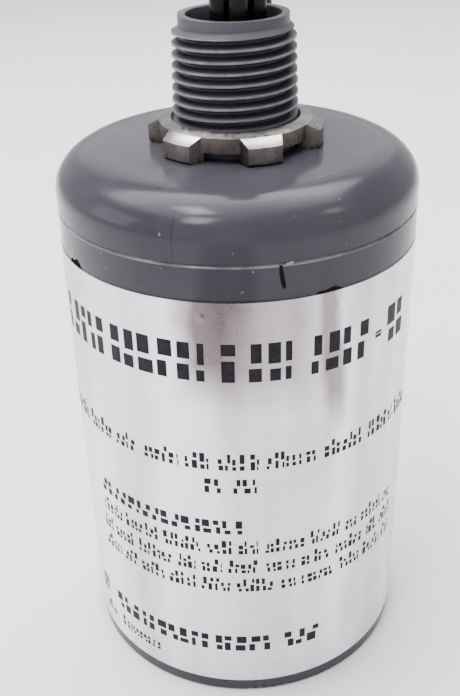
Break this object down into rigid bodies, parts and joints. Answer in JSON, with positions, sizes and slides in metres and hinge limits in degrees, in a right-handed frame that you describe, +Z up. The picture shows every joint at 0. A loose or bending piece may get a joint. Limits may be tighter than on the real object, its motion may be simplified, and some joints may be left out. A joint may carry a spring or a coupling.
{
  "type": "whole house surge protector",
  "caption": "Potted round can surge protector with a domed cap, threaded conduit nipple, six-lug locknut, foil label and free wire leads.",
  "frame": {"origin": "middle of the can's flat base", "axes": "+Z up the can's axis to the threaded nipple, -Y out of the front of the label, +X to the right seen from the front"},
  "size_m": [0.0728, 0.2083, 0.1805],
  "materials": {
    "pvc_gray": "glossy moulded PVC",
    "foil": "satin printed foil",
    "zinc_steel": "zinc plated, scuffed",
    "cement": "dried solvent cement",
    "fibre": "fibre board",
    "tinned_copper": "tinned copper",
    "zinc_oxide": "fired zinc oxide ceramic",
    "ceramic": "fuse ceramic",
    "resin": "black potting resin",
    "black_insulation": "glossy nylon over PVC",
    "white_insulation": "glossy nylon over PVC",
    "green_insulation": "glossy nylon over PVC",
    "copper": "bare copper"
  },
  "bodies": {
    "protector": {"housing_can": "pvc_gray", "top_cap": "pvc_gray", "cement_ring": "cement", "foil_label": "foil", "threaded_nipple": "pvc_gray", "base_insulator": "fibre", "stack_insulator": "fibre", "potting_resin": "resin", "nipple_seal": "resin", "lead_copper_ends": "copper", "white_lead": "white_insulation", "green_lead": "green_insulation", "black_lead_1": "black_insulation", "black_splice_1": "tinned_copper", "phase_1_varistor": "zinc_oxide", "phase_1_plate": "tinned_copper", "phase_1_riser": "tinned_copper", "phase_1_link": "tinned_copper", "phase_1_fuse_tube": "ceramic", "phase_1_fuse_caps": "tinned_copper", "black_lead_2": "black_insulation", "black_splice_2": "tinned_copper", "phase_2_varistor": "zinc_oxide", "phase_2_plate": "tinned_copper", "phase_2_riser": "tinned_copper", "phase_2_link": "tinned_copper", "phase_2_fuse_tube": "ceramic", "phase_2_fuse_caps": "tinned_copper", "black_lead_3": "black_insulation", "black_splice_3": "tinned_copper", "phase_3_varistor": "zinc_oxide", "phase_3_plate": "tinned_copper", "phase_3_riser": "tinned_copper", "phase_3_link": "tinned_copper", "phase_3_fuse_tube": "ceramic", "phase_3_fuse_caps": "tinned_copper", "ground_plate": "tinned_copper", "neutral_plate_lower": "tinned_copper", "neutral_plate_upper": "tinned_copper", "neutral_wire": "tinned_copper", "ground_wire": "tinned_copper", "neutral_link": "tinned_copper", "white_splice": "tinned_copper", "green_splice": "tinned_copper", "ground_varistor": "zinc_oxide"},
    "locknut": {"locknut": "zinc_steel"}
  },
  "joints": [
    {"name": "locknut_travel", "type": "slide", "parent": "protector", "child": "locknut", "axis": [0, 0, 1], "range_m": [0, 0.0155]}
  ]
}
